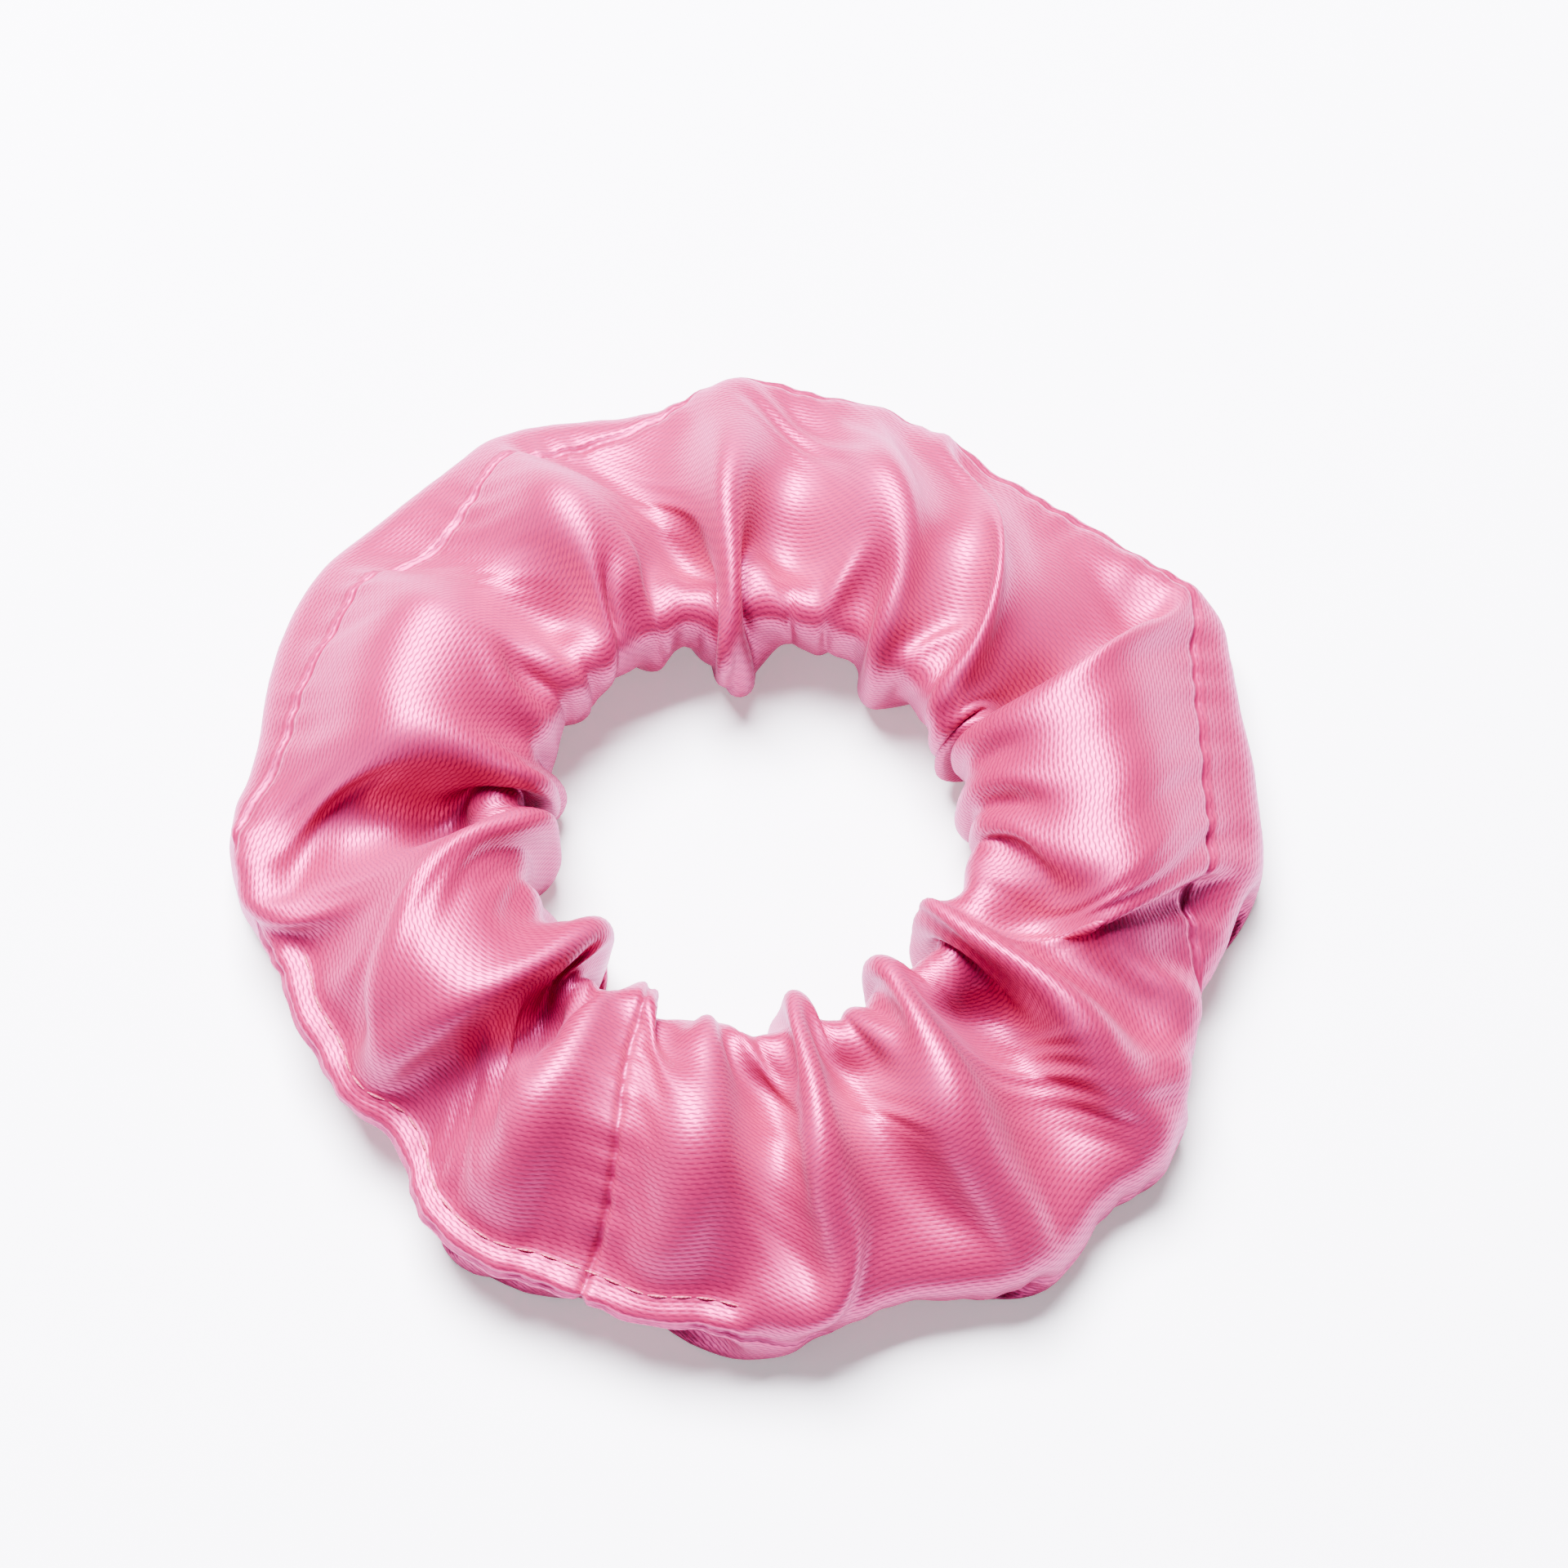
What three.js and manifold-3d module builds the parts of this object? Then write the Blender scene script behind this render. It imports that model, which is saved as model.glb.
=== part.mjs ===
// A satin hair scrunchie: a sewn tube of cloth gathered on a ring of flat elastic.
// Millimetres, +Z up. The ring lies flat on z = 0 with the centre of its hole on the Z axis.
// The cross seam, where the two ends of the tube meet, is at -Y; the ring stretches open along X.
import * as THREE from "three";
import { ParametricGeometry } from "three/addons/geometries/ParametricGeometry.js";
import { mergeVertices } from "three/addons/utils/BufferGeometryUtils.js";
import Module from "manifold-3d";

// ---- driving dimensions ----
const OUTER_DIAMETER = 112; // over the crests of the outer edge
const HOLE_DIAMETER = 42; // between the crests of the gathers round the hole
const HEIGHT = 22; // floor to the crests of the top
const BASE_SINK = 2; // how much of the section's round underside is pressed flat
const GATHERS = 14; // billows round the ring, even, so that opposite sides match
const OUTER_SWELL = 1.5; // a billow's crest over its valley at the outer edge
const TOP_SWELL = 2.4; // the same on the top
const HOLE_SWELL = 1.2; // and at the hole
const EDGE_PINCH = 0.45; // how much the seam flattens the outer edge: 0 is round, 1 a thin fin
const GATHER_DEPTH = 3.6; // cloth between the hole's edge and the elastic's tunnel

const ELASTIC_WIDTH = 6; // flat woven elastic, standing on edge in its tunnel
const ELASTIC_THICKNESS = 1;
const ELASTIC_OVERLAP = 10; // the two ends lie over each other for this length
const LAYER_GAP = 0.3; // between the overlapped ends
const TUNNEL_CLEARANCE = 0.6; // round the elastic

const THREAD_DIAMETER = 0.3; // polyester sewing thread
const THREAD_CLEARANCE = 0.3; // between a thread and the cloth or elastic that it lies on
const LOCKSTITCH_PITCH = 0.8; // between the needle thread and the bobbin thread, across a seam
const SEAM_DEPTH = 1.5; // how far a seam draws the cloth in
const SPLIT_GAP = 0.3; // between the ends of the tube at the cross seam, and opposite it

const TOPSTITCH_START = -138; // degrees round the ring: the closed turning gap
const TOPSTITCH_END = -66;
const TOPSTITCH_MARGIN = 3; // from the outer edge to the line of stitches
const TACK_WIDTH = 4; // the zigzag that joins the elastic: across the band
const TACK_LENGTH = 7; // and along it
const TACK_STITCHES = 9;
const JOIN_ANGLE = -112; // degrees round the ring: the middle of the elastic's overlap

const AROUND = 70; // steps round the ring, a multiple of GATHERS
const SECTION = 28; // steps round the tube
const THREAD_SIDES = 6;

// ---- colours ----
const SATIN = { color: 0xf285ab, roughness: 0.35, metalness: 0 };
const SATIN_THREAD = { color: 0xe8739b, roughness: 0.5, metalness: 0 };
const WOVEN_ELASTIC = { color: 0xf4f1ec, roughness: 0.8, metalness: 0 };

const radians = THREE.MathUtils.degToRad;

// ---- derived places ----
const TUBE_HALF_WIDTH = (OUTER_DIAMETER - HOLE_DIAMETER) / 4;
const TUBE_RADIUS = HOLE_DIAMETER / 2 + TUBE_HALF_WIDTH; // middle of the tube, from the Z axis
const TUBE_HALF_HEIGHT = (HEIGHT + BASE_SINK) / 2;
const TUBE_HEIGHT = HEIGHT - TUBE_HALF_HEIGHT; // middle of the tube, from the floor
const TUNNEL_INNER = HOLE_DIAMETER / 2 + GATHER_DEPTH;
const ELASTIC_INNER = TUNNEL_INNER + TUNNEL_CLEARANCE;
const ELASTIC_OUTER = ELASTIC_INNER + 2 * ELASTIC_THICKNESS + LAYER_GAP;
const TUNNEL_OUTER = ELASTIC_OUTER + TUNNEL_CLEARANCE;
const THREAD_RADIUS = THREAD_DIAMETER / 2;
const SEAM_WIDTH = LOCKSTITCH_PITCH + THREAD_DIAMETER + 2 * THREAD_CLEARANCE;
const LONG_SEAM_INSET = SEAM_DEPTH - THREAD_CLEARANCE - THREAD_RADIUS;
const CROSS_SEAM_INSET = LONG_SEAM_INSET - THREAD_DIAMETER - THREAD_CLEARANCE; // sewn last, over it

// A point of the gathered tube's skin: round is the angle round the ring and turn the angle round
// the tube, both in radians, with turn 0 at the outer edge; inset moves the point into the cloth.
function skin(round, turn, inset) {
  const billow = (Math.cos(GATHERS * round) - 1) / 2;
  const outwards = Math.cos(turn);
  const upwards = Math.sin(turn);
  const edgeSwell = outwards > 0 ? OUTER_SWELL : HOLE_SWELL;
  const halfWidth = TUBE_HALF_WIDTH - inset + edgeSwell * billow * outwards ** 2;
  const swell = upwards > 0 ? TOP_SWELL * billow * upwards ** 2 : 0;
  const pinch = outwards > 0 ? 1 - EDGE_PINCH * outwards ** 2 : 1;
  const halfHeight = (TUBE_HALF_HEIGHT - inset + swell) * pinch;
  const reach = TUBE_RADIUS + halfWidth * outwards;
  const height = Math.max(inset, TUBE_HEIGHT + halfHeight * upwards);
  return new THREE.Vector3(reach * Math.cos(round), reach * Math.sin(round), height);
}

// ---- manifold-3d joins and cuts closed meshes ----
const wasm = await Module();
wasm.setup();

function solidOf(geometry) {
  const bare = geometry.index ? geometry.toNonIndexed() : geometry.clone();
  bare.deleteAttribute("normal");
  bare.deleteAttribute("uv");
  const merged = mergeVertices(bare, 1e-4);
  return new wasm.Manifold(
    new wasm.Mesh({
      numProp: 3,
      vertProperties: merged.attributes.position.array,
      triVerts: new Uint32Array(merged.index.array),
    }),
  );
}

function geometryOf(solid) {
  const mesh = solid.getMesh();
  return new THREE.BufferGeometry()
    .setAttribute("position", new THREE.BufferAttribute(new Float32Array(mesh.vertProperties), 3))
    .setIndex(new THREE.BufferAttribute(new Uint32Array(mesh.triVerts), 1));
}

// A closed surface whose two parameters both run a full turn.
function ringSurface(pointAt, stepsAround, stepsSection) {
  return new ParametricGeometry(
    (s, t, target) => target.copy(pointAt(2 * Math.PI * (s % 1), 2 * Math.PI * (t % 1))),
    stepsAround,
    stepsSection,
  );
}

// A thread laid along a closed loop: across and over are unit vectors square to the loop.
function threadLoop(loopAt, stepsAround) {
  return ringSurface(
    (along, turn) => {
      const { centre, across, over } = loopAt(along);
      return centre
        .addScaledVector(across, THREAD_RADIUS * Math.cos(turn))
        .addScaledVector(over, THREAD_RADIUS * Math.sin(turn));
    },
    stepsAround,
    THREAD_SIDES,
  );
}

// A thread laid along an open run of points, closed at both ends.
function threadRun(points, steps) {
  const section = new THREE.Shape().absarc(0, 0, THREAD_RADIUS, 0, 2 * Math.PI);
  return new THREE.ExtrudeGeometry(section, {
    steps,
    curveSegments: THREAD_SIDES / 2,
    extrudePath: new THREE.CatmullRomCurve3(points),
  });
}

function slab(width, depth, height, x, y, z) {
  return solidOf(new THREE.BoxGeometry(width, depth, height).translate(x, y, z));
}

// three.js turns its lathes and cylinders about Y: this stands one on Z, centred on the tube.
function upright(geometry) {
  return geometry.rotateX(Math.PI / 2).translate(0, 0, TUBE_HEIGHT);
}

// ---- satin sleeve ----
function sleeveHalves() {
  const reach = OUTER_DIAMETER; // large enough to cut through everything
  const skinSolid = (inset) => solidOf(ringSurface((u, v) => skin(u, v, inset), AROUND, SECTION));
  const tunnelHalf = ELASTIC_WIDTH / 2 + TUNNEL_CLEARANCE;
  const tunnelProfile = [
    new THREE.Vector2(TUNNEL_INNER, -tunnelHalf),
    new THREE.Vector2(TUNNEL_OUTER, -tunnelHalf),
    new THREE.Vector2(TUNNEL_OUTER, tunnelHalf),
    new THREE.Vector2(TUNNEL_INNER, tunnelHalf),
    new THREE.Vector2(TUNNEL_INNER, -tunnelHalf),
  ];
  const tunnel = solidOf(upright(new THREE.LatheGeometry(tunnelProfile, AROUND)));
  // Both seams draw the skin in: the long seam along the outer edge, the cross seam round the tube.
  const core = skinSolid(SEAM_DEPTH);
  const insideRing = new THREE.CylinderGeometry(TUBE_RADIUS, TUBE_RADIUS, HEIGHT, AROUND);
  const longSeamBand = slab(2 * reach, 2 * reach, SEAM_WIDTH, 0, 0, TUBE_HEIGHT).subtract(
    solidOf(upright(insideRing)),
  );
  const crossSeamBand = slab(SEAM_WIDTH, reach, 2 * HEIGHT, 0, -reach / 2, TUBE_HEIGHT);
  const grooves = longSeamBand.add(crossSeamBand).subtract(core);
  const gathered = skinSolid(0).subtract(tunnel).subtract(grooves);
  const side = (sign) =>
    gathered.intersect(slab(reach, 2 * reach, 3 * HEIGHT, (sign * (reach + SPLIT_GAP)) / 2, 0, 0));
  return { left: side(-1), right: side(1) };
}

// ---- elastic ----
// The plan of the band: a strip that winds once round and lies over its own start.
function elasticPlan() {
  const middle = ELASTIC_INNER + ELASTIC_THICKNESS + LAYER_GAP / 2;
  const overlap = ELASTIC_OVERLAP / middle;
  const start = radians(JOIN_ANGLE) - overlap / 2;
  const whole = 2 * Math.PI + overlap;
  const step = ELASTIC_THICKNESS + LAYER_GAP;
  // The strip keeps to its inner radius, and steps out one layer in the last fifth before the overlap.
  const innerRadius = (along) =>
    ELASTIC_INNER + step * THREE.MathUtils.smoothstep(along, 1.6 * Math.PI, 2 * Math.PI - 0.1);
  const edge = (extra) =>
    Array.from({ length: AROUND + 1 }, (_, i) => {
      const along = (whole * i) / AROUND;
      const radius = innerRadius(along) + extra;
      const angle = start + along;
      return new THREE.Vector2(radius * Math.cos(angle), radius * Math.sin(angle));
    });
  return new THREE.Shape([...edge(0), ...edge(ELASTIC_THICKNESS).reverse()]);
}

function elasticBand() {
  return new THREE.ExtrudeGeometry(elasticPlan(), { depth: ELASTIC_WIDTH, bevelEnabled: false }).translate(
    0,
    0,
    TUBE_HEIGHT - ELASTIC_WIDTH / 2,
  );
}

// A zigzag of stitches over the elastic's overlap, on a face of the given radius.
function elasticTack(radius) {
  const points = Array.from({ length: TACK_STITCHES + 1 }, (_, i) => {
    const along = (i / TACK_STITCHES - 0.5) * TACK_LENGTH;
    const angle = radians(JOIN_ANGLE) + along / radius;
    const height = TUBE_HEIGHT + ((i % 2 ? 1 : -1) * TACK_WIDTH) / 2;
    return new THREE.Vector3(radius * Math.cos(angle), radius * Math.sin(angle), height);
  });
  return threadRun(points, 2 * TACK_STITCHES);
}

// ---- seam threads ----
function longSeamThread(side) {
  return threadLoop((round) => {
    const centre = skin(round, 0, LONG_SEAM_INSET);
    const across = new THREE.Vector3(Math.cos(round), Math.sin(round), 0);
    centre.z += (side * LOCKSTITCH_PITCH) / 2;
    return { centre, across, over: new THREE.Vector3(0, 0, 1) };
  }, AROUND);
}

function crossSeamThread(side) {
  const front = radians(-90);
  return threadLoop((turn) => {
    const centre = skin(front, turn, CROSS_SEAM_INSET);
    const ahead = skin(front, turn + 0.01, CROSS_SEAM_INSET);
    const over = new THREE.Vector3(-1, 0, 0);
    const across = ahead.sub(centre).normalize().cross(over);
    centre.x = (side * LOCKSTITCH_PITCH) / 2;
    return { centre, across, over };
  }, SECTION);
}

// A run of stitches on the skin, a margin in from the outer edge, above (side 1) or below (side -1).
function topstitchThread(side) {
  const steps = 28;
  const turn = side * Math.acos(1 - TOPSTITCH_MARGIN / TUBE_HALF_WIDTH);
  const lift = -(THREAD_CLEARANCE + THREAD_RADIUS);
  const points = Array.from({ length: steps + 1 }, (_, i) => {
    const round = THREE.MathUtils.lerp(radians(TOPSTITCH_START), radians(TOPSTITCH_END), i / steps);
    return skin(round, turn, lift);
  });
  return threadRun(points, steps);
}

// ---- assembly ----
const scrunchie = new THREE.Group();

function place(name, geometry, finish) {
  geometry.computeVertexNormals();
  const mesh = new THREE.Mesh(geometry, new THREE.MeshStandardMaterial(finish));
  mesh.name = name;
  scrunchie.add(mesh);
}

const { left, right } = sleeveHalves();
place("sleeve_left_half", geometryOf(left), SATIN);
place("sleeve_right_half", geometryOf(right), SATIN);
place("elastic_band", elasticBand(), WOVEN_ELASTIC);
place("elastic_tack_needle_thread", elasticTack(ELASTIC_INNER - THREAD_CLEARANCE), SATIN_THREAD);
place("elastic_tack_bobbin_thread", elasticTack(ELASTIC_OUTER + THREAD_CLEARANCE), SATIN_THREAD);
place("long_seam_needle_thread", longSeamThread(1), SATIN_THREAD);
place("long_seam_bobbin_thread", longSeamThread(-1), SATIN_THREAD);
place("cross_seam_needle_thread", crossSeamThread(-1), SATIN_THREAD);
place("cross_seam_bobbin_thread", crossSeamThread(1), SATIN_THREAD);
place("closing_topstitch_needle_thread", topstitchThread(1), SATIN_THREAD);
place("closing_topstitch_bobbin_thread", topstitchThread(-1), SATIN_THREAD);

export default scrunchie;
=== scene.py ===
# %% [markdown]
# # A satin scrunchie
# A scrunchie is a strip of satin sewn into a tube, turned right side out, threaded with a ring of
# flat elastic and closed. The elastic is much shorter than the tube, so the cloth gathers on it:
# tightly at the hole, and hardly at all at the outer edge. That difference makes the folds.
# Here the cloth is gathered the same way. A tube with the real sizes of the strip is laid in folds,
# a small cloth solver lets it settle round the elastic, and the seams are sewn on the settled
# cloth.

# %% Load the CAD model
import math

import bpy
import numpy as np
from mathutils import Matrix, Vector


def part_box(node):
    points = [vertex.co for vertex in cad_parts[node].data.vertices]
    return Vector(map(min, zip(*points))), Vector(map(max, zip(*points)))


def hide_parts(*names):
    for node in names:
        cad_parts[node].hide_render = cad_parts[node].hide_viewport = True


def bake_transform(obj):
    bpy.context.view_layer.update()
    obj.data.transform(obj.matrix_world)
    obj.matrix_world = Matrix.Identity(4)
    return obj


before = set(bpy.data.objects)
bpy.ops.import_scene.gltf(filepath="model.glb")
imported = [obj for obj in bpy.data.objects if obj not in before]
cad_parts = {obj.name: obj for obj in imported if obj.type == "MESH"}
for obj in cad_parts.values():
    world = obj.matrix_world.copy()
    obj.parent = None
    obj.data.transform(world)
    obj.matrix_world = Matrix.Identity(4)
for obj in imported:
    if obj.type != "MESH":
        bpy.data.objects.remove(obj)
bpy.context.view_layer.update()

# %% [markdown]
# ## Sizes of the real thing
# The strip is cut 96 x 365 mm. Seam allowances of 5 mm leave a tube 86 mm round and 355 mm long.
# Everything that the CAD model fixes, such as where the elastic lies, is read from its boxes.

# %% Sizes
MM = 0.001
TUBE_LENGTH = 355 * MM  # along the tube, which is round the ring
TUBE_GIRTH = 86 * MM  # round the tube
CLOTH_THICKNESS = 0.25 * MM
THREAD_THICKNESS = 0.28 * MM

ELASTIC_THICKNESS = 1.0 * MM

elastic_low, elastic_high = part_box("elastic_band")
sleeve_low, sleeve_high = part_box("sleeve_left_half")
ELASTIC_INNER = elastic_high.x - ELASTIC_THICKNESS
ELASTIC_OUTER = ELASTIC_INNER + 2.3 * MM  # where its ends lie over each other
ELASTIC_WIDTH = elastic_high.z - elastic_low.z
RING_MIDDLE = (elastic_low.z + elastic_high.z) / 2  # height of the tube's middle
RING_HEIGHT = sleeve_high.z
FLOOR = sleeve_low.z
CAMERA_TURN = 25  # degrees: the camera stands this far round from -Y
print("elastic %.1f to %.1f mm from the axis" % (ELASTIC_INNER / MM, ELASTIC_OUTER / MM))

# %% [markdown]
# ## Where the folds run
# Each fold is a ridge or a valley that starts at the hole and ends at the outer edge. A row gives
# its angle at the hole, half way and at the outer edge, as seen by the camera (0 is right, 90 is
# away), then +1 for a ridge or -1 for a valley, how high or deep it is next to the others, and how
# sharp. Between two ridges with no valley, the cloth is one smooth panel. Where a valley's angle
# lies under its ridge, the ridge hangs over.

# %% Fold lines
FOLD_LINES = np.array([
    (20, 23, 28, 1, 1.5, 0.9),
    (23, 25, 33, -1, 1.4, 0.4),
    (26, 45, 55, 1, 1.0, 0.9),
    (39, 52, 61, -1, 0.6, 0.1),
    (56, 66, 74, 1, 0.5, 0.0),
    (86, 84, 83, -1, 1.1, 0.2),
    (93, 94, 94, 1, 0.0, 0.8),
    (99, 103, 112, -1, 1.4, 0.3),
    (116, 119, 124, 1, 0.6, 0.3),
    (130, 133, 139, -1, 0.9, 0.3),
    (147, 148, 147, 1, 0.5, 0.0),
    (170, 170, 171, 1, 1.0, 0.5),
    (173, 180, 183, -1, 1.5, 0.4),
    (177, 194, 200, 1, 0.5, 0.3),
    (222, 222, 218, 1, 1.0, 0.5),
    (228, 226, 226, -1, 1.2, 0.5),
    (234, 238, 240, 1, 0.0, 0.1),
    (240, 249, 252, -1, 0.5, 0.6),
    (256, 263, 263, 1, 0.5, 0.0),
    (274, 275, 277, -1, 1.0, 0.3),
    (283, 281, 284, 1, 1.0, 0.6),
    (290, 290, 296, -1, 1.0, 0.3),
    (306, 302, 302, 1, 0.8, 0.2),
    (323, 318, 314, -1, 1.6, 0.2),
    (327, 324, 321, 1, 0.3, 0.1),
    (339, 335, 333, -1, 1.0, 0.4),
    (351, 340, 338, 1, 1.0, 0.7),
])
CROSS_SEAM_FOLD = 17  # the row of the valley that the cross seam lies in

TOPSTITCH_FROM, TOPSTITCH_TO = 197, 269  # degrees, as seen by the camera
TOPSTITCH_MARGIN = 3.6 * MM  # from the long seam
TOPSTITCH_PINCH = 2.0 * MM  # the two layers are drawn this close there

# Outline of the ring and of the hole: angle as seen by the camera, radius in mm
OUTLINE = np.array([
    (7, 55.5), (22, 58.4), (31, 60.0), (37, 58.0), (45, 54.0), (60, 53.6), (75, 56.5), (89, 57.3),
    (102, 57.7), (114, 58.2), (130, 58.2), (143, 58.2), (151, 58.5), (164, 55.7), (174, 56.5),
    (192, 53.0), (200, 52.1), (210, 50.5), (221, 51.6), (238, 54.4), (251, 54.8), (269, 55.0),
    (283, 54.5), (295, 56.2), (307, 57.3), (320, 55.7), (328, 54.2), (341, 51.0), (349, 54.0),
])
HOLE = np.array([
    (7, 21.2), (21, 23.0), (45, 21.6), (60, 21.7), (79, 20.4), (93, 18.6), (106, 18.6), (119, 21.2),
    (129, 22.8), (159, 21.0), (172, 21.3), (192, 19.5), (227, 19.0), (236, 20.5), (266, 19.8),
    (281, 19.8), (307, 20.4), (326, 20.5), (354, 21.5),
])
# How far the long seam has rolled from the outer edge up on to the top, in mm
SEAM_ROLL = np.array([
    (0, 8.0), (10, 7.5), (20, 5.5), (30, 4.0), (45, 1.5), (80, 1.0), (100, 2.5), (115, 6.0),
    (135, 9.0), (155, 8.5), (170, 4.5), (182, 2.0), (195, 0.0), (271, 0.0), (284, -4.0),
    (324, -4.0), (334, -3.0), (343, 2.5), (350, 7.5),
])


# %% Tables round the ring
def round_the_ring(table, angle):
    """Value of a table at angles in radians, in metres.

    Straight lines join its rows. Corners are rounded: half of the value itself is added to a
    quarter of the value 4 degrees before and a quarter of the value 4 degrees after.
    """
    turn = np.radians(table[:, 0] + CAMERA_TURN)
    turns = np.concatenate([turn - 2 * np.pi, turn, turn + 2 * np.pi])
    values = np.tile(table[:, 1], 3)
    angle = np.mod(angle, 2 * np.pi)
    blur = math.radians(4)
    sides = np.interp(angle - blur, turns, values) + np.interp(angle + blur, turns, values)
    return (0.5 * np.interp(angle, turns, values) + 0.25 * sides) * MM


print(len(FOLD_LINES), "fold lines,", int((FOLD_LINES[:, 3] < 0).sum()), "of them valleys")

# %% [markdown]
# ## Lay the tube in folds
# The tube is a grid: one side runs along the tube and the other round it, from the outer edge over
# the top to the hole and back underneath. On every row, the length of the cloth has to fit round a
# ring that gets smaller towards the hole, so the valleys are made just deep enough to take it up.
# The finest ruching at the elastic is closer than this grid can draw, so the rows there are
# shortened, and small gathers are put in their place when the seams are sewn.

# %% One row of the tube
PLEATS = 32  # small pleats round the hole, between the main folds
RUCHING = 0.33  # share of the length taken up by ruching too fine to draw, at the elastic
VALLEY_DEPTH = ([0, 0.12, 0.3, 0.5, 0.75, 1], [2.0, 3.5, 6.5, 7.5, 5.5, 2.2])  # hole to edge, in mm
UNDERSIDE = 0.8  # the valleys underneath are shallower by this, because the floor flattens them
HOLE_RADIUS, TUBE_WIDTH = 21, 34.5  # in mm, of the ring as it is laid


def drawn_length(girth_place):
    """Share of a row's length that is drawn: 1, less a bell-shaped dip at the elastic (0.5)."""
    return 1 - RUCHING * np.exp(-(((girth_place - 0.5) / 0.11) ** 2))


def unwrapped(column):
    """Angles of one column, in radians, made to rise all the way round."""
    turn = np.radians(FOLD_LINES[:, column] + CAMERA_TURN)
    return turn + 2 * np.pi * np.cumsum(np.diff(turn, prepend=turn[0]) < -np.pi)


def folded_row(place, along):
    """One row of the tube: angle round the ring, and height of the fold, at shares of the length.

    The row is a chain of arcs from ridge to valley. An arc of run x and rise h is about
    sqrt(x^2 + 1.25 h^2) long, and the rise is scaled until the arcs add up to the cloth.
    """
    turn = 2 * np.pi * place
    reach = (1 + np.cos(turn)) / 2  # 0 at the hole, 1 at the outer edge
    hole, middle, outer = unwrapped(0), unwrapped(1), unwrapped(2)
    angle = (1 - reach) * (1 - 2 * reach) * hole + 4 * reach * (1 - reach) * middle
    angle = angle + reach * (2 * reach - 1) * outer
    angle = np.append(angle, angle[0] + 2 * np.pi)
    kind, size, sharp = (np.append(FOLD_LINES[:, c], FOLD_LINES[0, c]) for c in (3, 4, 5))
    depth = np.interp(reach, *VALLEY_DEPTH) * MM * (1.0 if turn < np.pi else UNDERSIDE)
    crest = (0.6 + 0.4 * max(math.sin(turn), 0)) * MM
    run = np.diff(angle) * (HOLE_RADIUS + TUBE_WIDTH * reach) * MM

    def arcs(scale):
        height = np.where(kind > 0, size * crest, -size * depth * scale)
        return height, np.sqrt(run**2 + 1.25 * np.diff(height) ** 2)

    needed = TUBE_LENGTH * drawn_length(place)
    low, high = 0.0, float(np.interp(reach, [0, 0.15, 0.4], [1.0, 1.2, 3.0]))
    if arcs(high)[1].sum() > needed:
        for _ in range(30):
            half = (low + high) / 2
            low, high = (low, half) if arcs(half)[1].sum() > needed else (half, high)
    height, arc = arcs(high)
    ends = np.append(0, np.cumsum(arc)) / arc.sum()
    ends = ends - ends[CROSS_SEAM_FOLD]  # the cross seam is a straight thread line, at 0
    share = np.mod(along - ends[0], 1) + ends[0]
    cell = np.clip(np.searchsorted(ends, share, side="right") - 1, 0, len(arc) - 1)
    part = (share - ends[cell]) / (ends[cell + 1] - ends[cell])
    crease = sharp[cell] * (1 - part) + sharp[cell + 1] * part
    rise = part * part * (3 - 2 * part) * (1 - crease) + part * crease
    bump = height[cell] * (1 - rise) + height[cell + 1] * rise
    theta = angle[cell] * (1 - part) + angle[cell + 1] * part
    spare = max(needed / arc.sum() - 1, 0)
    pleat = 0.8 * arc.sum() / PLEATS / np.pi * math.sqrt(spare)
    where = 0.6 + 0.5 * np.cos(2 * (theta - math.radians(85 + CAMERA_TURN)))
    wander = 1.1 * np.sin(6 * np.pi * along + 5.9) + 0.9 * np.sin(10 * np.pi * along + 3.2)
    return theta, bump + pleat * where * np.cos(2 * np.pi * PLEATS * along + wander)


# %% The whole tube
def folded_tube(steps_along, steps_round):
    """A lens-shaped section swept round the ring, and moved along its normal by the folds."""
    along = np.arange(steps_along) / steps_along
    cloth = np.empty((steps_along, steps_round, 3))
    for row in range(steps_round):
        place = row / steps_round
        out, up = math.cos(2 * np.pi * place), math.sin(2 * np.pi * place)
        theta, bump = folded_row(place, along)
        outer, hole = round_the_ring(OUTLINE, theta), round_the_ring(HOLE, theta)
        half_width, half_height = (outer - hole) / 2, RING_HEIGHT / 2
        edge = 1 - 0.5 * max(out, 0) ** 1.5
        lean_out, lean_up = out / half_width, up / half_height
        lean = np.hypot(lean_out, lean_up)
        radius = (outer + hole) / 2 + half_width * out + bump * lean_out / lean
        height = RING_MIDDLE + half_height * up * edge + bump * lean_up / lean
        cloth[:, row] = np.stack(
            [radius * np.cos(theta), radius * np.sin(theta), np.maximum(height, 0.4 * MM)], -1
        )
    return cloth


COARSE = (256, 48)
folded = folded_tube(*COARSE)
print("laid in folds:", folded.shape)

# %% [markdown]
# ## A small cloth solver
# Cloth hardly stretches, shears a little and resists bending. The solver keeps the distance between
# neighbouring crossings (along both threads), between diagonal ones (weakly) and between crossings
# a few threads apart (bending). Layers that come closer than a set gap are pushed apart. The cloth
# can't enter the floor, the elastic, or the round former that it is dressed on.

# %% Links between crossings
def links(shape, step_along, step_round, stiffness):
    """Pairs of crossings a step apart, in two sets in which no crossing appears twice."""
    along, rnd = np.meshgrid(np.arange(shape[0]), np.arange(shape[1]), indexing="ij")
    first = along * shape[1] + rnd
    second = (along + step_along) % shape[0] * shape[1] + (rnd + step_round) % shape[1]
    turn = along // step_along % 2 if step_along else rnd // step_round % 2
    spacing = (TUBE_LENGTH / shape[0] * step_along, TUBE_GIRTH / shape[1] * step_round)
    middle = (rnd + step_round / 2) / shape[1]
    rest = np.hypot(spacing[0] * drawn_length(middle), spacing[1])
    return [(first[turn == k], second[turn == k], rest[turn == k], stiffness) for k in (0, 1)]


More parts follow.
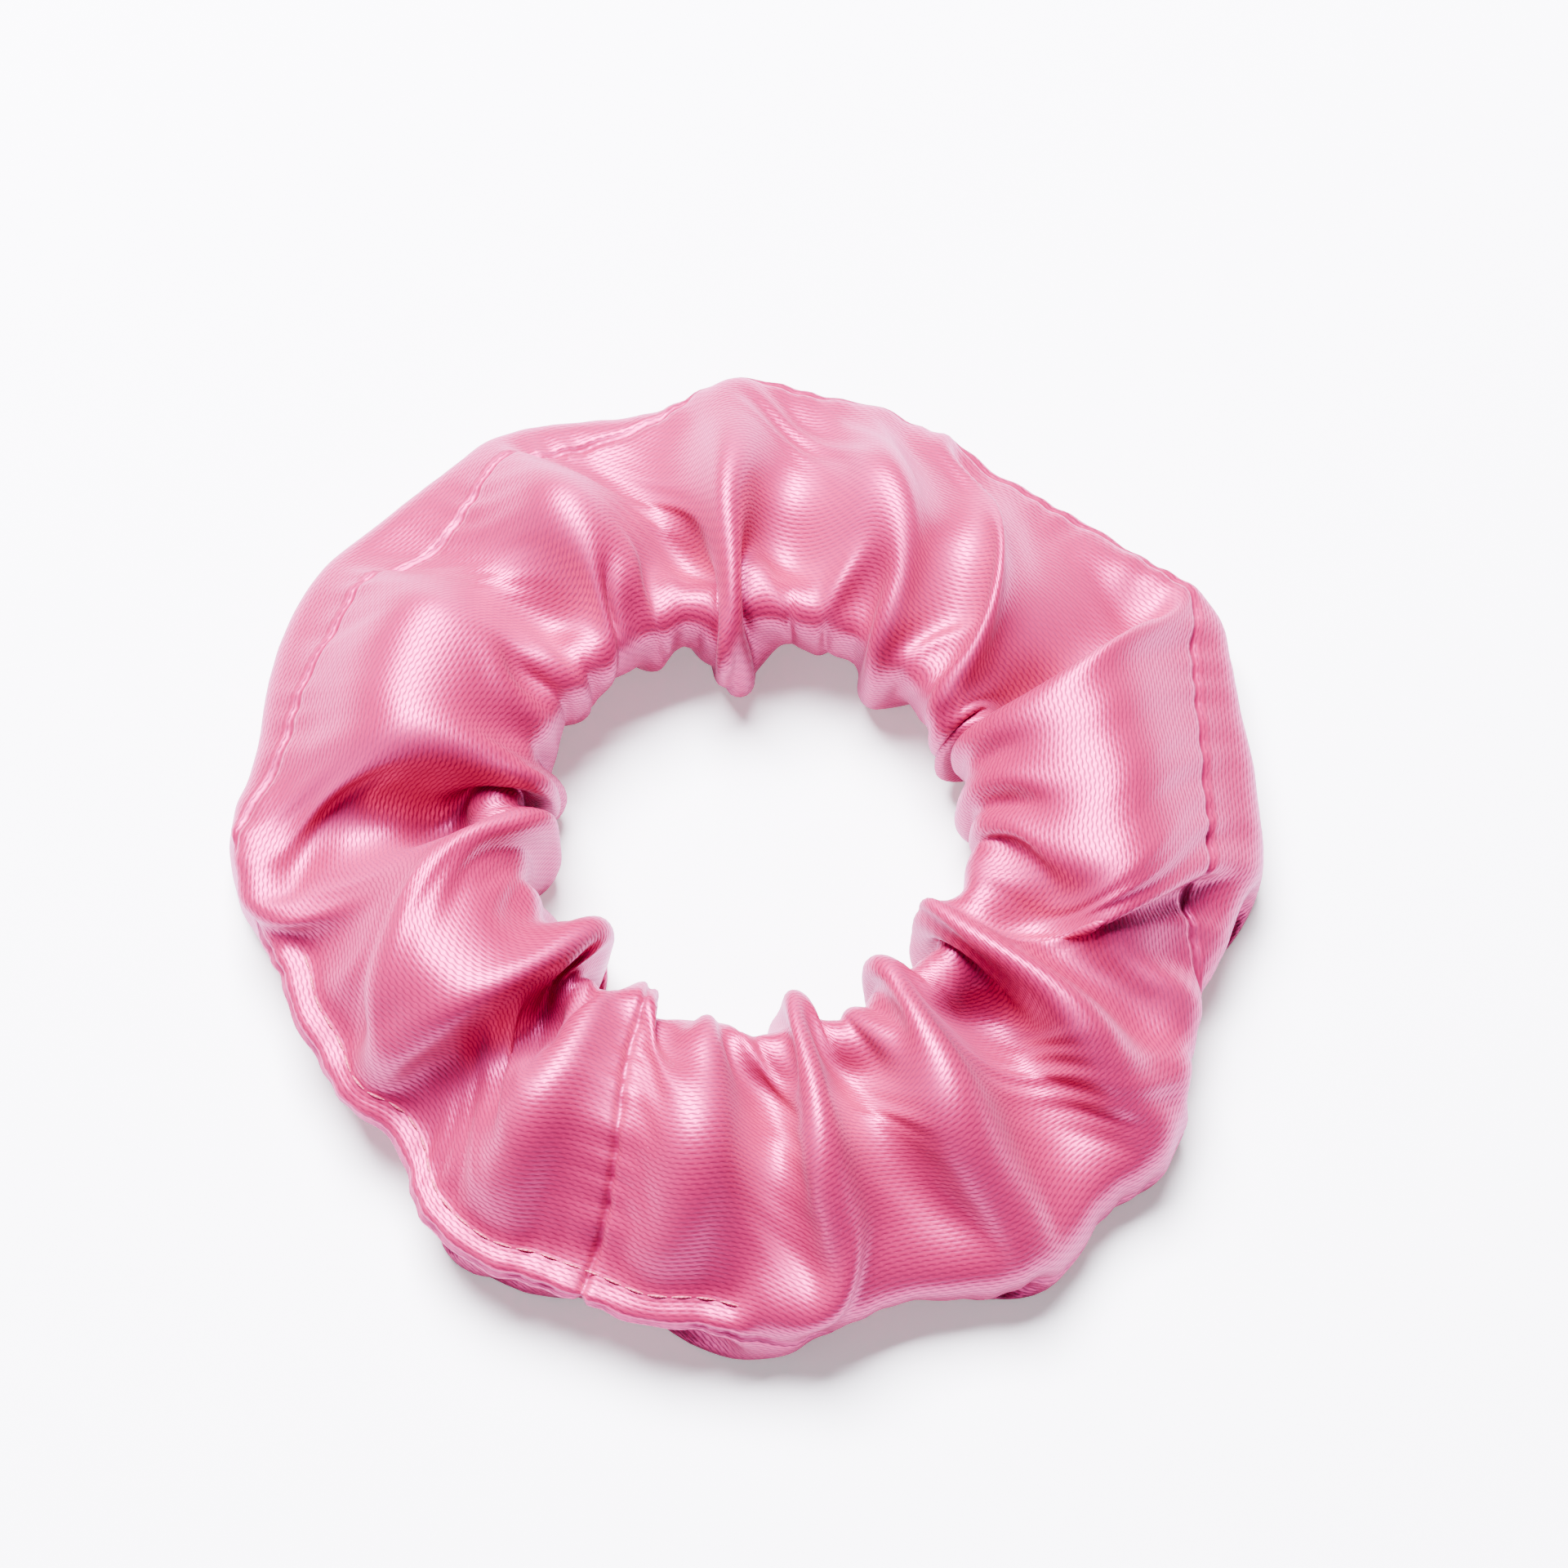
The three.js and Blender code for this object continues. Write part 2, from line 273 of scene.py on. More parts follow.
def pull(points, first, second, rest, stiffness):
    """Move both ends of each link half way to its rest length, times the stiffness."""
    between = points[second] - points[first]
    length = np.sqrt((between**2).sum(1)) + 1e-9
    move = between * (0.5 * stiffness * (length - rest) / length)[:, None]
    points[first] += move
    points[second] -= move


def cloth_links(shape):
    """Threads along and round the tube, both diagonals, and three scales of bending."""
    kinds = [(1, 0, 1.0), (0, 1, 1.0), (1, 1, 0.15), (1, -1, 0.15), (2, 0, 0.10), (0, 2, 0.10)]
    kinds += [(4, 0, 0.08), (0, 4, 0.08), (8, 0, 0.04), (0, 8, 0.04)]
    return [link for kind in kinds for link in links(shape, *kind)]


# %% Layers that touch
def touching(points, shape, reach):
    """Pairs of crossings closer than reach that aren't neighbours in the cloth.

    Space is cut into cubes of that size, and each crossing looks in the columns of cubes round it.
    """
    cube = np.floor(points / reach).astype(np.int64)
    cube -= cube.min(0) - 1
    span = cube.max(0) + 2
    key = (cube[:, 0] * span[1] + cube[:, 1]) * span[2] + cube[:, 2]
    order = np.argsort(key, kind="stable")
    ranked = key[order]
    index = np.arange(len(points))
    pairs = []
    for across, ahead in ((0, 0), (0, 1), (1, -1), (1, 0), (1, 1)):
        column = key + (across * span[1] + ahead) * span[2]
        start = np.searchsorted(ranked, column - 1, side="left")
        count = np.searchsorted(ranked, column + 1, side="right") - start
        for k in range(int(count.max())):
            here = count > k
            pairs.append(np.stack([index[here], order[start[here] + k]]))
    first, second = np.concatenate(pairs, 1)
    near = ((points[first] - points[second]) ** 2).sum(1) < reach**2
    first, second = first[near], second[near]
    along = np.abs(first // shape[1] - second // shape[1])
    rnd = np.abs(first % shape[1] - second % shape[1])
    far = (np.minimum(along, shape[0] - along) > 2) | (np.minimum(rnd, shape[1] - rnd) > 2)
    return first[far], second[far]


def push_apart(points, first, second, gap):
    """Move pairs that are closer than the gap apart, shared between all of a crossing's pairs."""
    between = points[second] - points[first]
    length = np.sqrt((between**2).sum(1)) + 1e-9
    hit = length < gap
    first, second = first[hit], second[hit]
    move = between[hit] * (0.5 * (gap - length[hit]) / length[hit])[:, None]
    count = len(points)
    touches = np.bincount(first, minlength=count) + np.bincount(second, minlength=count)
    shares = np.maximum(touches / 2, 1)
    for axis in range(3):
        push = np.bincount(second, move[:, axis], count) - np.bincount(first, move[:, axis], count)
        points[:, axis] += push / shares


# %% Things the cloth can't enter
ROOM = 0.9 * MM  # from the elastic to the crossings, so that the faces between them clear it too


def outward(points):
    """Distance from the ring's axis, and unit directions outwards and round the ring."""
    radius = np.hypot(points[:, 0], points[:, 1]) + 1e-9
    out = points[:, :2] / radius[:, None]
    return radius, out, np.stack([-out[:, 1], out[:, 0]], 1)


def clear_of_elastic(points):
    """Push crossings out of the elastic's rectangular section, by the shorter way."""
    radius, out, _ = outward(points)
    middle, half = (ELASTIC_INNER + ELASTIC_OUTER) / 2, (ELASTIC_OUTER - ELASTIC_INNER) / 2 + ROOM
    tall = ELASTIC_WIDTH / 2 + ROOM
    side, above = radius - middle, points[:, 2] - RING_MIDDLE
    inside = (np.abs(side) < half) & (np.abs(above) < tall)
    deep_side, deep_above = half - np.abs(side), tall - np.abs(above)
    sideways = inside & (deep_side < deep_above)
    upwards = inside & ~sideways
    points[:, :2] += np.where(sideways, np.sign(side) * deep_side, 0)[:, None] * out
    points[:, 2] += np.where(upwards, np.sign(above) * deep_above, 0)


def inside_former(points):
    """Keep the cloth between the two outlines, off the floor and under a flat hand."""
    radius, out, _ = outward(points)
    theta = np.arctan2(points[:, 1], points[:, 0])
    inner = round_the_ring(HOLE, theta) - 0.3 * MM
    outer = round_the_ring(OUTLINE, theta) + 0.5 * MM
    move = 0.9 * np.maximum(inner - radius, 0) - 0.5 * np.maximum(radius - outer, 0)
    points[:, :2] += move[:, None] * out
    over = points[:, 2] - RING_HEIGHT
    points[:, 2] -= 0.3 * np.maximum(over, 0)
    np.maximum(points[:, 2], FLOOR + 0.3 * MM, out=points[:, 2])


# %% [markdown]
# ## What holds the folds
# On the real scrunchie, friction on the elastic keeps every gather where it was pushed, and the
# seam keeps the outer edge in line. So the rows at the elastic are held round the ring, the seam
# row is held out, and the top is held weakly to the folds it was laid in. The finer pass almost
# lets it go.

# %% Friction, seam and laid folds
def hold(points, laid, shape, grip, seam, fold):
    """Move crossings a small share of the way back to where they were laid."""
    place = np.tile(np.arange(shape[1]) / shape[1], shape[0])
    at_elastic = grip * np.exp(-(((place - 0.5) / 0.10) ** 2))
    at_seam = seam * np.exp(-((np.minimum(place, 1 - place) / 0.02) ** 2))
    on_top = fold * np.sqrt(np.clip(np.sin(2 * np.pi * place), 0, 1))
    radius, out, rnd = outward(points)
    back = laid - points
    along = (back[:, :2] * rnd).sum(1) * (at_elastic + 0.3 * on_top)
    outwards = (np.hypot(laid[:, 0], laid[:, 1]) - radius) * at_seam
    points[:, :2] += along[:, None] * rnd + outwards[:, None] * out
    points[:, 2] += back[:, 2] * (at_seam + on_top)


def normals(cloth):
    """Normal at each crossing times the area round it, from the crossings on either side."""
    along = np.roll(cloth, -1, 0) - np.roll(cloth, 1, 0)
    rnd = np.roll(cloth, -1, 1) - np.roll(cloth, 1, 1)
    return np.cross(along, rnd) / 4


def topstitch_links(laid):
    """Pairs of crossings above and below the edge, that the topstitch draws together."""
    angle = np.mod(np.degrees(np.arctan2(laid[:, 0, 1], laid[:, 0, 0])) - CAMERA_TURN, 360)
    column = np.flatnonzero((angle > TOPSTITCH_FROM) & (angle < TOPSTITCH_TO))
    rows = laid.shape[1]
    row = round(TOPSTITCH_MARGIN / TUBE_GIRTH * rows)
    drawn_to = np.full(len(column), TOPSTITCH_PINCH)
    return column * rows + row, column * rows + rows - row, drawn_to, 0.6


# %% The solver
SPEED_KEPT = 0.9  # share of the speed, from one step to the next
AIR_PUSH = 4e-4  # metres a step, at full pressure in an empty tube
WEIGHT = 0.02 * MM  # a step
FASTEST = 0.4 * MM  # a step


def settle(cloth, laid, steps, growth, gap, air, pressure, holding):
    """Let the cloth settle: move, pull the links, push layers apart, keep out of things, repeat.

    The links grow from the lengths as laid to their real ones over the growth steps. The air
    inside, in cubic metres, pushes outwards as long as the tube holds less than it should. Holding
    gives the shares for the grip on the elastic, for the seam and for the laid folds.
    """
    shape = cloth.shape[:2]
    threads = cloth_links(shape) + [topstitch_links(laid)]
    points, laid = cloth.reshape(-1, 3).copy(), laid.reshape(-1, 3)
    laid_lengths = [np.linalg.norm(points[b] - points[a], axis=1) for a, b, _, _ in threads]
    spacing = TUBE_LENGTH / shape[0] * TUBE_GIRTH / shape[1]
    speed = np.zeros_like(points)
    for step in range(steps):
        grown = min(1, (step + 1) / growth)
        grown = grown * grown * (3 - 2 * grown)
        before = points.copy()
        area = normals(points.reshape(*shape, 3)).reshape(-1, 3)
        volume = (points * area).sum() / 3
        speed = SPEED_KEPT * speed + area / spacing * (AIR_PUSH * pressure * (1 - volume / air))
        speed[:, 2] -= WEIGHT
        points += speed
        for (first, second, rest, stiffness), start in zip(threads, laid_lengths):
            pull(points, first, second, start + (rest - start) * grown, stiffness)
        if step % 8 == 0:
            pairs = touching(points, shape, 1.7 * gap)
        push_apart(points, *pairs, gap)
        clear_of_elastic(points)
        hold(points, laid, shape, *holding)
        inside_former(points)
        speed = points - before
        size = np.sqrt((speed**2).sum(1)) + 1e-12
        speed *= np.minimum(1, FASTEST / size)[:, None]
    print("settled %d x %d: %.0f cm3, last move %.3f mm" % (*shape, volume * 1e6, size.mean() / MM))
    return points.reshape(*shape, 3)


# %% A finer grid
def twice_as_fine(cloth):
    """Double the crossings both ways: a new one lies on the curve through its four neighbours."""
    for axis in (0, 1):
        near = cloth + np.roll(cloth, -1, axis)
        far = np.roll(cloth, 1, axis) + np.roll(cloth, -2, axis)
        both = np.stack([cloth, (9 * near - far) / 16], axis + 1)
        size = list(cloth.shape)
        size[axis] *= 2
        cloth = both.reshape(size)
    return cloth


# %% Settle the cloth
COARSE_STEPS, FINE_STEPS = ((300, 70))
sleeve = settle(
    folded,
    folded,
    steps=COARSE_STEPS,
    growth=120,
    gap=1.1 * MM,
    air=98e-6,
    pressure=0.40,
    holding=(0.2, 0.05, 0.10),
)
sleeve = settle(
    twice_as_fine(sleeve),
    twice_as_fine(folded),
    steps=FINE_STEPS,
    growth=20,
    gap=0.7 * MM,
    air=96e-6,
    pressure=0.20,
    holding=(0.05, 0.02, 0.03),
)
for _ in range(2):  # cloth doesn't wrinkle finer than its own thickness lets it
    for axis in (0, 1):
        sleeve = 0.5 * sleeve + 0.25 * (np.roll(sleeve, 1, axis) + np.roll(sleeve, -1, axis))
print("the settled cloth is %.1f mm high" % (np.ptp(sleeve[..., 2]) / MM))

# %% [markdown]
# ## Sew the seams
# A seam is a line where both cloths turn inwards, so it shows as a fine groove, and the thread's
# tension puckers the cloth beside it. First the grid is turned round the tube until its first row
# lies on the long seam, which has rolled a few millimetres up on to the top in places, or under.
# The lines of the grid are crowded beside the seams, so that a groove half a millimetre wide is
# real geometry.

# %% Crowded lines
def crowded(count, length):
    """Places of the grid's lines as shares of the length, three times as close beside the seam.

    The seam is at 0. Each place is where the running total of the density, 1 plus a bell 2 high,
    reaches its share.
    """
    fine = np.linspace(-0.5, 0.5, 20001)
    total = np.cumsum(1 + 2 * np.exp(-((fine * length / (1.3 * MM)) ** 2)))
    total = (total - total[0]) / (total[-1] - total[0]) - 0.5
    return np.sort(np.mod(np.interp(np.arange(count) / count - 0.5, total, fine), 1))


def line_number(places, share):
    """Number of the grid line, with its fraction, at a share of the length."""
    return np.interp(np.mod(share, 1), np.append(places, 1), np.arange(len(places) + 1))


def smooth_sample(cloth, along, rnd, lines_along=None, lines_round=None):
    """Cloth at shares of its length and girth: straight lines between the nearest crossings."""
    even = lines_along is None
    x = np.mod(along, 1) * cloth.shape[0] if even else line_number(lines_along, along)
    y = np.mod(rnd, 1) * cloth.shape[1] if even else line_number(lines_round, rnd)
    x, y = np.broadcast_arrays(x, y)
    i, j = np.floor(x).astype(int), np.floor(y).astype(int)
    fx, fy = (x - i)[..., None], (y - j)[..., None]
    i, j = i % cloth.shape[0], j % cloth.shape[1]
    i2, j2 = (i + 1) % cloth.shape[0], (j + 1) % cloth.shape[1]
    near = cloth[i, j] * (1 - fy) + cloth[i, j2] * fy
    return near * (1 - fx) + (cloth[i2, j] * (1 - fy) + cloth[i2, j2] * fy) * fx


steps_along, steps_round = sleeve.shape[:2]
lines_along = crowded(steps_along, TUBE_LENGTH)
lines_round = crowded(steps_round, TUBE_GIRTH)
along, rnd = lines_along[:, None], lines_round[None, :]
edge = smooth_sample(sleeve, lines_along, 0 * lines_along)
seam_place = round_the_ring(SEAM_ROLL, np.arctan2(edge[:, 1], edge[:, 0]))[:, None] / TUBE_GIRTH
sleeve = smooth_sample(sleeve, along, rnd + seam_place)

from_long_seam = np.minimum(rnd, 1 - rnd) * TUBE_GIRTH
from_cross_seam = np.minimum(along, 1 - along) * TUBE_LENGTH
print("the long seam is row 0 of", steps_round, "and the cross seam column 0 of", steps_along)

# %% Grooves, puckers and gathers
GATHERS = 40  # round the hole, about 3 mm apart


def unit(vectors):
    """Vectors divided by their lengths."""
    return vectors / (np.linalg.norm(vectors, axis=-1, keepdims=True) + 1e-12)


def pucker(distance, position, length, reach):
    """Short waves beside a seam, uneven in length, dying away with distance from it."""
    phase = 2 * np.pi * position / length + 1.3 * np.sin(2 * np.pi * position / (3.7 * length))
    return np.sin(phase) * np.exp(-distance / reach)


def gathers(along, place):
    """Small upright folds at the elastic: a sine without its sign, so rounded with sharp valleys.

    Their spacing wanders, their height changes from place to place, and a bell-shaped curve keeps
    them beside the elastic and a little way on to the top (place 0.48).
    """
    turn = 2 * np.pi * along
    phase = np.pi * GATHERS * along + 1.3 * np.sin(5 * turn + 1) + 0.8 * np.sin(11 * turn + 2)
    height = 0.65 + 0.35 * np.sin(7 * turn + 0.5)
    return height * np.abs(np.sin(phase)) * np.exp(-(((place - 0.48) / 0.12) ** 2))


groove = 0.45 * MM * np.exp(-((from_long_seam / (0.4 * MM)) ** 2))
groove = np.maximum(groove, 0.65 * MM * np.exp(-((from_cross_seam / (0.45 * MM)) ** 2)))
puckers = 0.16 * MM * pucker(from_long_seam, along * TUBE_LENGTH, 4.3 * MM, 3 * MM)
puckers = puckers + 0.30 * MM * pucker(from_cross_seam, rnd * TUBE_GIRTH, 3.6 * MM, 2.5 * MM)
ruching = 1.0 * MM * gathers(along, np.mod(rnd + seam_place, 1))
sleeve = sleeve + unit(normals(sleeve)) * (puckers + ruching - groove)[..., None]
sleeve[..., 2] = np.maximum(sleeve[..., 2], FLOOR + 0.15 * MM)
sleeve_normals = unit(normals(sleeve))


def on_cloth(field, along, rnd):
    """A field of the sewn cloth, such as its points or normals, at shares of length and girth."""
    return smooth_sample(field, along, rnd, lines_along, lines_round)


ring_size = np.round(np.ptp(sleeve.reshape(-1, 3), axis=0) / MM, 1)
print("seams sewn; the ring is now %s mm" % ring_size)

# %% [markdown]
# ## Meshes from grids
# Every piece here is a grid of points that closes on itself one way or both ways. Two helpers turn
# a grid into faces and a mesh into a named object with its own UV map, from 0 to 1 each way.

# %% Mesh helpers
def grid_faces(rows, columns, closed_rows=True, closed_columns=True, reverse=False):
    """Four-sided faces of a grid, and the share of each way at their corners."""
    i, j = np.meshgrid(
        np.arange(rows if closed_rows else rows - 1),
        np.arange(columns if closed_columns else columns - 1),
        indexing="ij",
    )
    steps = ((0, 0), (0, 1), (1, 1), (1, 0)) if reverse else ((0, 0), (1, 0), (1, 1), (0, 1))
    corners = [((i + a) % rows * columns + (j + b) % columns).ravel() for a, b in steps]
    shares = [np.stack([(i + a).ravel() / rows, (j + b).ravel() / columns], -1) for a, b in steps]
    return np.stack(corners, -1), np.stack(shares, 1)


def make_piece(name, points, faces, uv, material):
    """A smooth-shaded object at the origin, from points, four-sided faces and a UV per corner."""
    mesh = bpy.data.meshes.new(name)
    mesh.from_pydata(points.reshape(-1, 3).tolist(), [], faces.tolist())
    layer = mesh.uv_layers.new(name="UVMap")
    layer.data.foreach_set("uv", uv.reshape(-1).astype(np.float32))
    mesh.materials.append(material)
    mesh.shade_smooth()
    mesh.update()
    piece = bpy.data.objects.new(name, mesh)
    bpy.context.scene.collection.objects.link(piece)
    print("%s: %d points, %d faces" % (name, len(mesh.vertices), len(mesh.polygons)))
    return piece


def stretches(piece, slot, *nodes):
    """The piece stands for its CAD nodes, which are hidden, and its placing is baked into its
    points.
    """
    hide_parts(*nodes)
    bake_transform(piece)


# %% Material helpers
def colour(code):
    """sRGB hex to linear red, green, blue and 1."""
    srgb = np.array([int(code[k : k + 2], 16) / 255 for k in (1, 3, 5)])
    linear = np.where(srgb <= 0.04045, srgb / 12.92, ((srgb + 0.055) / 1.055) ** 2.4)
    return (*linear.tolist(), 1.0)


def add_node(tree, kind, settings=None, **inputs):
    """Add a node, set its properties, and give each named input a value or a link from a socket.

    Settings of one word are the operation of a node that calculates. An input without a name of
    its own is given as _ and its number.
    """
    node = tree.nodes.new(kind)
    settings = {"operation": settings} if isinstance(settings, str) else settings
    for key, value in (settings or {}).items():
        setattr(node, key, value)
    for key, value in inputs.items():
        name = key.replace("_", " ").strip()
        socket = node.inputs[int(name)] if name.isdigit() else node.inputs[name]
        if isinstance(value, bpy.types.NodeSocket):
            tree.links.new(value, socket)
        else:
            socket.default_value = value
    return node


def new_material(name):
    """An empty node material, with its tree and its surface shader."""
    material = bpy.data.materials.new(name)
    material.use_nodes = True
    return material, material.node_tree, material.node_tree.nodes["Principled BSDF"]


MATH, MIX, NOISE = "ShaderNodeMath", "ShaderNodeMix", "ShaderNodeTexNoise"
COLOURS = {"data_type": "RGBA"}  # a mix of colours

# %% [markdown]
# ## Woven polyester satin
# Satin's glossy side is long floats: each thread passes over several others before it dips under
# one, and the dips step sideways from row to row, which draws faint diagonal lines. The gaps
# between the rows are dark dashes of painted shade, broken where a float dips. The real threads
# are about 0.1 mm apart, too fine to show here, so the rows are drawn 0.5 mm apart. The filaments
# are clear and dyed right through, so part of the gloss comes back in the colour of the dye, as it
# does from a metal. A metallic share gives that, and the rest of the gloss has a lilac tint. The
# floats reflect more light across than along, so the gloss is stretched (anisotropic). At a seam
# the two cloths press together and the shade in the crease is deeper than the mesh can show, so
# painted shade darkens its line.

# %% Satin weave
FLOAT_ROW = 0.5 * MM
FLOAT_LENGTH = 1.2 * MM
FLOAT_STEP = 0.4  # of a float's length, sideways from row to row

satin, tree, shader = new_material("woven polyester satin")
uv = add_node(tree, "ShaderNodeUVMap", {"uv_map": "UVMap"}).outputs[0]
place = add_node(tree, "ShaderNodeSeparateXYZ", Vector=uv).outputs
row = add_node(tree, MATH, "MULTIPLY", _0=place[1], _1=TUBE_GIRTH / FLOAT_ROW).outputs[0]
row_number = add_node(tree, MATH, "FLOOR", _0=row).outputs[0]
shift = add_node(tree, MATH, "MULTIPLY", _0=row_number, _1=FLOAT_STEP).outputs[0]
floats = add_node(tree, MATH, "MULTIPLY", _0=place[0], _1=TUBE_LENGTH / FLOAT_LENGTH).outputs[0]
float_place = add_node(tree, MATH, "ADD", _0=floats, _1=shift).outputs[0]
waves = []
for share in (row, float_place):  # half a wave across a row, and along a float
    part = add_node(tree, MATH, "FRACT", _0=share).outputs[0]
    turn = add_node(tree, MATH, "MULTIPLY", _0=part, _1=math.pi).outputs[0]
    waves.append(add_node(tree, MATH, "SINE", _0=turn).outputs[0])
thread_top = add_node(tree, MATH, "POWER", _0=waves[0], _1=1.2).outputs[0]
gap = add_node(tree, MATH, "SUBTRACT", _0=1.0, _1=thread_top).outputs[0]
# painted shade: this is 1 in the gaps between the rows of floats, where the colour is darkened
# below
gap_shade = add_node(tree, MATH, "MULTIPLY", _0=gap, _1=waves[1]).outputs[0]
weave = add_node(tree, MATH, "SUBTRACT", _0=1.0, _1=gap_shade).outputs[0]
print("weave: rows %.1f mm apart, floats %.1f mm long" % (FLOAT_ROW / MM, FLOAT_LENGTH / MM))

# %% Satin dye, with painted shade in the weave's gaps and along the seams
STREAK_LENGTH, STREAK_WIDTH = 9 * MM, 0.5 * MM
body = add_node(tree, "ShaderNodeTexCoord").outputs["Object"]
cloudy = add_node(tree, NOISE, Vector=body, Scale=70.0, Detail=3.0).outputs[0]
stretched = add_node(
    tree,
    "ShaderNodeMapping",
    Vector=uv,
    Scale=(TUBE_LENGTH / STREAK_LENGTH, TUBE_GIRTH / STREAK_WIDTH, 1),
).outputs[0]
streaks = add_node(tree, NOISE, Vector=stretched, Scale=1.0, Detail=2.0).outputs[0]
half_cloudy = add_node(tree, MATH, "MULTIPLY", _0=cloudy, _1=0.5).outputs[0]
half_streaks = add_node(tree, MATH, "MULTIPLY", _0=streaks, _1=0.5).outputs[0]
shade = add_node(tree, MATH, "ADD", _0=half_cloudy, _1=half_streaks).outputs[0]
dye = add_node(tree, MIX, COLOURS, Factor=shade, A=colour("#900842"), B=colour("#B4165A"))
# painted shade: in the gaps between the rows, the dye is mixed towards near-black red #56001E
threads = add_node(tree, MIX, COLOURS, Factor=weave, A=colour("#56001E"), B=dye.outputs[2])
# painted shade along the seams: within 0.45 mm of a seam's line the colour is mixed towards dark
# red #8A0640, darkest within 0.1 mm
to_seams = []
for share, size in ((place[0], TUBE_LENGTH), (place[1], TUBE_GIRTH)):
    to_seam = add_node(tree, MATH, "PINGPONG", _0=share, _1=0.5).outputs[0]
    to_seams.append(add_node(tree, MATH, "MULTIPLY", _0=to_seam, _1=size).outputs[0])
nearest = add_node(tree, MATH, "MINIMUM", _0=to_seams[0], _1=to_seams[1]).outputs[0]
crease = add_node(
    tree, "ShaderNodeMapRange", Value=nearest, From_Min=0.1 * MM, From_Max=0.45 * MM
).outputs[0]
seam = add_node(tree, MIX, COLOURS, Factor=crease, A=colour("#8A0640"), B=threads.outputs[2])
tree.links.new(seam.outputs[2], shader.inputs["Base Color"])
print("satin colours:", len(tree.nodes), "nodes")

# %% Satin gloss
bump = add_node(tree, "ShaderNodeBump", Height=weave, Strength=0.5, Distance=0.05 * MM).outputs[0]
tangent = add_node(
    tree, "ShaderNodeTangent", {"direction_type": "UV_MAP", "uv_map": "UVMap"}
).outputs[0]
tree.links.new(bump, shader.inputs["Normal"])
tree.links.new(tangent, shader.inputs["Tangent"])
shader.inputs["Metallic"].default_value = 0.4
gloss = add_node(tree, "ShaderNodeMapRange", Value=weave, To_Min=0.7, To_Max=0.4).outputs[0]
tree.links.new(gloss, shader.inputs["Roughness"])
shader.inputs["IOR"].default_value = 1.5
shader.inputs["Anisotropic"].default_value = 0.6
shader.inputs["Specular Tint"].default_value = colour("#FF94FA")
shader.inputs["Specular IOR Level"].default_value = 1.0
shader.inputs["Sheen Weight"].default_value = 0.05
shader.inputs["Sheen Roughness"].default_value = 0.4
shader.inputs["Sheen Tint"].default_value = colour("#F7B9E2")
print("satin: %d nodes" % len(tree.nodes))

# %% [markdown]
# ## The sleeve
# The tube is one sheet of cloth with an outside and an inside. Both faces are made, the cloth's
# thickness apart, so the sleeve is a real layer of cloth and not a solid ring.

# %% Sleeve
outside_faces, outside_uv = grid_faces(steps_along, steps_round)
inside_faces, inside_uv = grid_faces(steps_along, steps_round, reverse=True)
for share in (outside_uv, inside_uv):
    for way, lines in enumerate((lines_along, lines_round)):
        share[..., way] = np.append(lines, 1)[np.rint(share[..., way] * len(lines)).astype(int)]
inside = sleeve - CLOTH_THICKNESS * sleeve_normals
satin_sleeve = make_piece(
    "satin_sleeve",
    np.concatenate([sleeve.reshape(-1, 3), inside.reshape(-1, 3)]),
    np.concatenate([outside_faces, inside_faces + steps_along * steps_round]),
    np.concatenate([outside_uv, inside_uv]),
    satin,
)

# %% [markdown]
# ## Sewing thread
# Polyester thread is two or three plies twisted together, a little deeper in colour than the satin.
# Each visible stitch is one bulged grain of thread between two needle holes, so a row of stitches
# is one small closed shape repeated along a line on the cloth.

# %% Thread
thread, tree, shader = new_material("spun polyester sewing thread")
uv = add_node(tree, "ShaderNodeUVMap", {"uv_map": "UVMap"}).outputs[0]
place = add_node(tree, "ShaderNodeSeparateXYZ", Vector=uv).outputs
along_stitch = add_node(tree, MATH, "MULTIPLY", _0=place[0], _1=5.0).outputs[0]
round_stitch = add_node(tree, MATH, "MULTIPLY", _0=place[1], _1=2.0).outputs[0]
twist = add_node(tree, MATH, "ADD", _0=along_stitch, _1=round_stitch).outputs[0]
turn = add_node(tree, MATH, "MULTIPLY", _0=twist, _1=math.pi).outputs[0]
wave = add_node(tree, MATH, "SINE", _0=turn).outputs[0]
ply = add_node(tree, MATH, "ABSOLUTE", _0=wave).outputs[0]
strand = add_node(tree, MIX, COLOURS, Factor=ply, A=colour("#8C1040"), B=colour("#A82050"))
tree.links.new(strand.outputs[2], shader.inputs["Base Color"])
tree.links.new(
    add_node(tree, "ShaderNodeBump", Height=ply, Strength=0.6, Distance=0.05 * MM).outputs[0],
    shader.inputs["Normal"],
)
shader.inputs["Roughness"].default_value = 0.55
shader.inputs["IOR"].default_value = 1.58
shader.inputs["Sheen Weight"].default_value = 0.1
print("thread: %d nodes" % len(tree.nodes))

